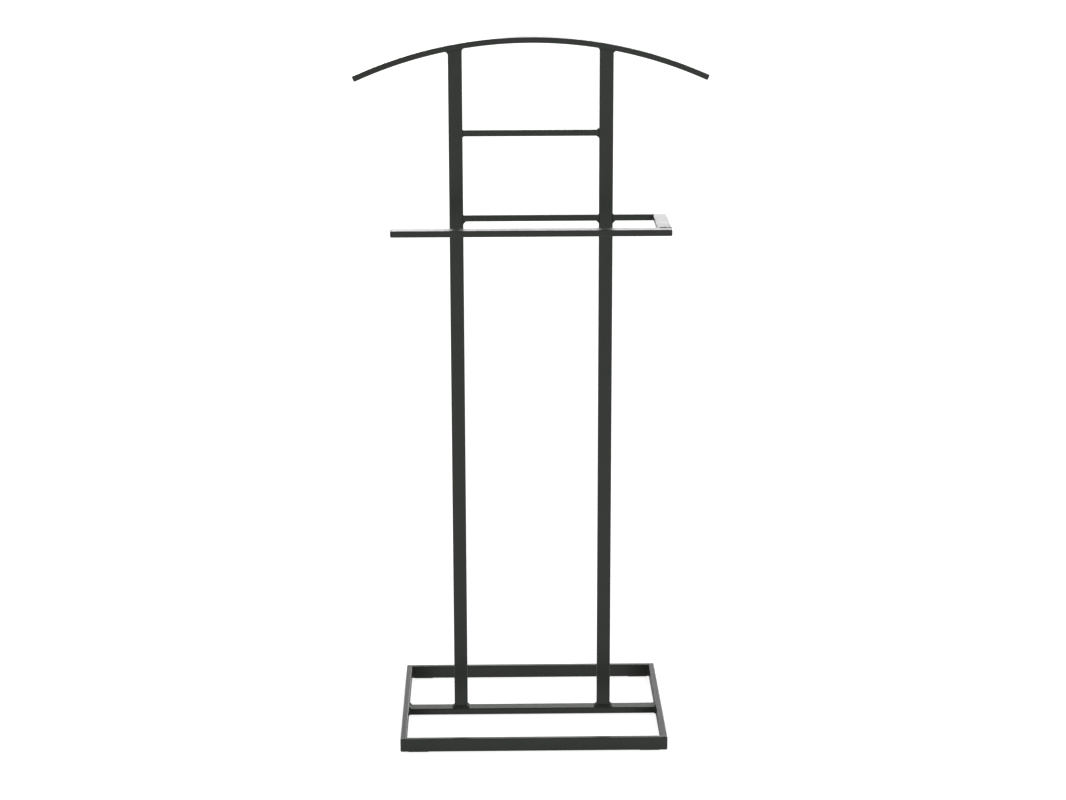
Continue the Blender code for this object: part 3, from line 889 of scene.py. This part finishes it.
felt = pad_felt()
for end in ("front", "rear"):
    for side in ("left", "right"):
        low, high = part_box(f"floor_pad_{end}_{side}")
        section = (high.x - low.x, high.y - low.y, PAD_CORNER)
        columns = bead_columns(*section, PAD_GRAIN)
        around = np.linspace(0, 1, len(columns[2]), endpoint=False)
        seed = 101 + len(end) + 7 * len(side)
        fray = wander(around + 0.3 * PAD_LEVELS, 40, FRAY, seed) - PAD_SETBACK
        a, b = outline(columns, *section, fray)
        x = (low.x + high.x) / 2 + a * PAD_SHARES
        y = (low.y + high.y) / 2 + b * PAD_SHARES
        z = base_bottom * PAD_LEVELS + 0 * a
        pad = skin(f"floor_pad_{end}_{side}_felt", np.stack([x, y, z], axis=-1), False, 0.0, felt)
        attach(pad, "root")
        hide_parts(f"floor_pad_{end}_{side}")


# ---------------------------------------------------------------------------------------------
# Studio. The floor is pale and glows softly, and the surround is white to the camera. What the coat
# mirrors is brightest low behind the stand, with a broad panel low at the front right and a dim strip
# of floor beside each side rail. One small softbox hangs high at the front right.

FLOOR_SIZE = 60.0
FLOOR_GREY = 0.64
FLOOR_GLOW = 0.80
FLOOR_LIGHT = 0.86  # share of its glow that lights the stand
STRIP_LOSS = 0.68  # share missing from a strip, where the coat mirrors it

floor_mesh = bpy.data.meshes.new("floor")
half = FLOOR_SIZE / 2
floor_corners = [(-half, -half, 0), (half, -half, 0), (half, half, 0), (-half, half, 0)]
floor_mesh.from_pydata(floor_corners, [], [(0, 1, 2, 3)])
floor = bpy.data.objects.new("floor", floor_mesh)
bpy.context.scene.collection.objects.link(floor)
floor_look = {
    "Base Color": (FLOOR_GREY, FLOOR_GREY, FLOOR_GREY, 1.0),
    "Roughness": 0.9,
    "Specular IOR Level": 0.1,
    "Emission Strength": FLOOR_GLOW,
}
floor_material, floor_shader, floor_place = start_material("pale_floor", floor_look)


def axes(vector):
    """The three components of a vector, as wires."""
    split = vector.node("ShaderNodeSeparateXYZ", {}, {"Vector": vector}).socket.node
    return [Wire(vector.tree, socket) for socket in split.outputs]


floor_x, floor_y, _ = axes(floor_place)
from_side = floor_x.maths("ABSOLUTE", floor_x)
from_end = floor_y.maths("ABSOLUTE", floor_y)
beside_rail = from_side.between(0.14, 0.18) * (1.0 - from_side.between(0.195, 0.205))
strip = beside_rail * (1.0 - from_end.between(0.12, 0.16))
seen = floor_place.node("ShaderNodeLightPath", {}, {}, "Is Camera Ray")
mirrored = floor_place.node("ShaderNodeLightPath", {}, {}, "Is Glossy Ray")
floor_light = seen + (1.0 - seen) * (FLOOR_LIGHT - mirrored * strip * STRIP_LOSS)
floor_glow = blend(floor_light, (0.0, 0.0, 0.0), (1.0, 1.0, 1.0))
floor_place.tree.links.new(floor_glow.socket, floor_shader.inputs["Emission Color"])
floor_mesh.materials.append(floor_material)

# Strengths of the surround. The limits further down are components of a unit vector.
SURROUND = 0.44
LOW_BAND = 5.8  # at the horizon behind the stand
LOW_BAND_FALL = 34.0  # times the square of the height, in its exponent
LOW_LEFT_GAIN = 1.0  # share that the band gains in a window left of the middle
PANEL = 1.7

world = bpy.data.worlds.new("surround")
bpy.context.scene.world = world
world.use_nodes = True
way = Wire(world.node_tree).node("ShaderNodeTexCoord", {}, {}, "Generated")
to_right, to_back, up = axes(way)
low_left = to_right.between(-0.30, -0.12) * to_right.between(0.01, -0.03) * up.between(0.27, 0.17)
low_band = up.maths("EXPONENT", up * up * -LOW_BAND_FALL) * LOW_BAND
low_band = low_band * (1.0 + low_left * LOW_LEFT_GAIN)
shelf = 0.31 + 0.265 * to_right.between(-0.06, 0.08)
towards_right = 0.75 + 0.6 * to_right.between(-0.15, 0.25)
behind = to_back.between(0.0, 0.9) * (shelf + low_band) * towards_right
in_front = (to_back * -1.0).between(0.55, 0.95) * to_right.between(-0.20, 0.22)
panel = in_front * up.between(0.7, 0.0) * PANEL
seen = way.node("ShaderNodeLightPath", {}, {}, "Is Camera Ray")
strength = (SURROUND + behind + panel) * (1.0 - seen) + seen
background = world.node_tree.nodes["Background"]
world.node_tree.links.new(strength.socket, background.inputs["Strength"])
background.inputs["Color"].default_value = (1.0, 1.0, 1.0, 1.0)

SOFTBOX_PLACE = Vector((1.6, -1.4, 2.6))
SOFTBOX_AIM = Vector((0.0, 0.0, 0.8))
softbox = bpy.data.lights.new("high_softbox", "AREA")
softbox.shape = "SQUARE"
softbox.size = 0.8
softbox.energy = 6.0
lamp = bpy.data.objects.new("high_softbox", softbox)
bpy.context.scene.collection.objects.link(lamp)
lamp.location = SOFTBOX_PLACE
lamp.rotation_mode = "QUATERNION"
lamp.rotation_quaternion = (SOFTBOX_AIM - SOFTBOX_PLACE).to_track_quat("-Z", "Y")

CAMERA_PLACE = (-0.0605, -3.350, 1.411)
CAMERA_YAW = 0.0123
CAMERA_PITCH = 0.2412
CAMERA_ROLL = -0.0036
camera_data = bpy.data.cameras.new("camera")
camera_data.lens = 77.79
camera_data.sensor_width = 36.0
camera_data.shift_x = 0.0136
camera_data.shift_y = -0.05
camera_data.clip_start = 0.05
camera_data.clip_end = 200.0
camera = bpy.data.objects.new("camera", camera_data)
bpy.context.scene.collection.objects.link(camera)
camera.location = CAMERA_PLACE
camera.rotation_mode = "QUATERNION"
turn = Matrix.Rotation(-CAMERA_YAW, 3, "Z")
tilt = Matrix.Rotation(math.pi / 2 - CAMERA_PITCH, 3, "X")
roll = Matrix.Rotation(CAMERA_ROLL, 3, "Z")
camera.rotation_quaternion = (turn @ tilt @ roll).to_quaternion()
bpy.context.scene.camera = camera
bpy.context.scene.view_settings.view_transform = "Standard"
